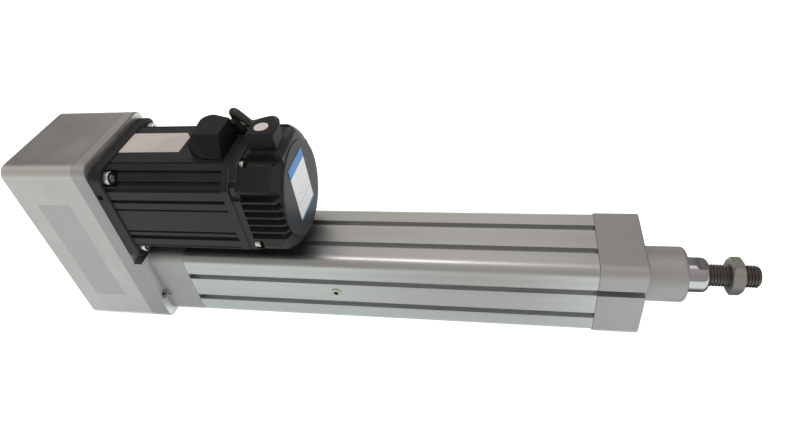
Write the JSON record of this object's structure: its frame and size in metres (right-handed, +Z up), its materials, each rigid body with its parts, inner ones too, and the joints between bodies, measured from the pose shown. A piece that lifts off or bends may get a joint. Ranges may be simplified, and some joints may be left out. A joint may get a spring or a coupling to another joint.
{
  "type": "electric cylinder",
  "caption": "Ball-screw electric cylinder with a slotted square aluminium body, a threaded piston rod, and a black servo motor folded back over it on a belt-drive housing.",
  "frame": {"origin": "on the rod's axis at the front cap's mounting face", "axes": "+X out along the piston rod, +Z up towards the motor, +Y across"},
  "size_m": [0.526, 0.0826, 0.1665],
  "materials": {
    "blasted_aluminium": "fine bead-blasted clear-anodised aluminium",
    "anodised_profile": "clear-anodised extrusion, faint drawn grain along its length",
    "grey_film": "plain grey film badge, satin",
    "zinc_steel": "zinc-plated steel, satin",
    "dark_steel": "dark oiled steel thread",
    "chromed_rod": "ground and hard-chromed rod",
    "bronze": "sintered bronze",
    "rubber": "black rubber",
    "lead_jacket": "black cable jacket",
    "steel": "turned and ground steel",
    "aluminium": "turned aluminium",
    "copper": "enamelled copper wire in varnish",
    "bearing_plastic": "filled bearing plastic",
    "magnet": "sintered ring magnet",
    "encoder_plastic": "circuit board and code disc",
    "motor_black": "satin black paint on aluminium",
    "bell_black": "semi-gloss black paint on a casting",
    "connector_plastic": "black moulded plastic",
    "label_film": "plain printed film, no lettering"
  },
  "bodies": {
    "housing": {"bearing_retainer": "steel", "belt_cover": "blasted_aluminium", "cover_badge": "grey_film", "cover_screws": "zinc_steel", "encoder_board": "encoder_plastic", "encoder_connector": "connector_plastic", "front_bumper": "rubber", "front_cap": "blasted_aluminium", "front_cap_screws": "zinc_steel", "grease_plug": "zinc_steel", "jumper_lead": "lead_jacket", "lead_glands": "connector_plastic", "motor_bearing_outer_rings": "steel", "motor_bolts": "zinc_steel", "motor_flange": "motor_black", "motor_plate": "blasted_aluminium", "motor_rear_bell": "bell_black", "motor_rear_screws": "zinc_steel", "motor_rear_shield": "motor_black", "power_connector": "connector_plastic", "power_connector_base": "connector_plastic", "profile_tube": "anodised_profile", "rating_plate": "label_film", "rear_block": "blasted_aluminium", "rear_block_screws": "zinc_steel", "rear_bumper": "rubber", "rear_label": "label_film", "rod_guide_bush": "bronze", "rod_wiper": "rubber", "round_label": "label_film", "screw_bearing_outer_rings": "steel", "shaft_seal": "rubber", "stator_core": "steel", "stator_housing": "motor_black", "stator_windings": "copper", "timing_belt": "rubber"},
    "rod": {"piston_rod": "chromed_rod", "rod_stud": "dark_steel", "rod_nut": "zinc_steel", "ball_nut": "steel", "ball_nut_screws": "zinc_steel", "piston": "aluminium", "guide_ring": "bearing_plastic", "magnet_ring": "magnet", "anti_rotation_keys": "bearing_plastic"},
    "screw": {"ball_screw": "steel", "screw_bearing_inner_rings": "steel", "bearing_lock_nut": "steel", "driven_pulley": "aluminium", "driven_pulley_key": "steel", "screw_support_ring": "bearing_plastic"},
    "rotor": {"motor_shaft": "steel", "rotor_core": "steel", "motor_bearing_inner_rings": "steel", "drive_pulley": "aluminium", "drive_pulley_key": "steel", "encoder_disc": "encoder_plastic"}
  },
  "joints": [
    {"name": "motor_spin", "type": "hinge", "parent": "housing", "child": "rotor", "pos_m": [-0.41, 0, 0.0775], "axis": [-1, 0, 0], "range_deg": [0, 7200]},
    {"name": "screw_spin", "type": "hinge", "parent": "housing", "child": "screw", "pos_m": [-0.41, 0, 0], "axis": [-1, 0, 0], "range_deg": [0, 7200]},
    {"name": "rod_slide", "type": "slide", "parent": "housing", "child": "rod", "axis": [1, 0, 0], "range_m": [0, 0.2]}
  ],
  "couplings": [
    {"joint": "screw_spin", "follows": "motor_spin", "ratio": 1},
    {"joint": "rod_slide", "follows": "motor_spin", "m_per_rad": 0.0015915}
  ]
}
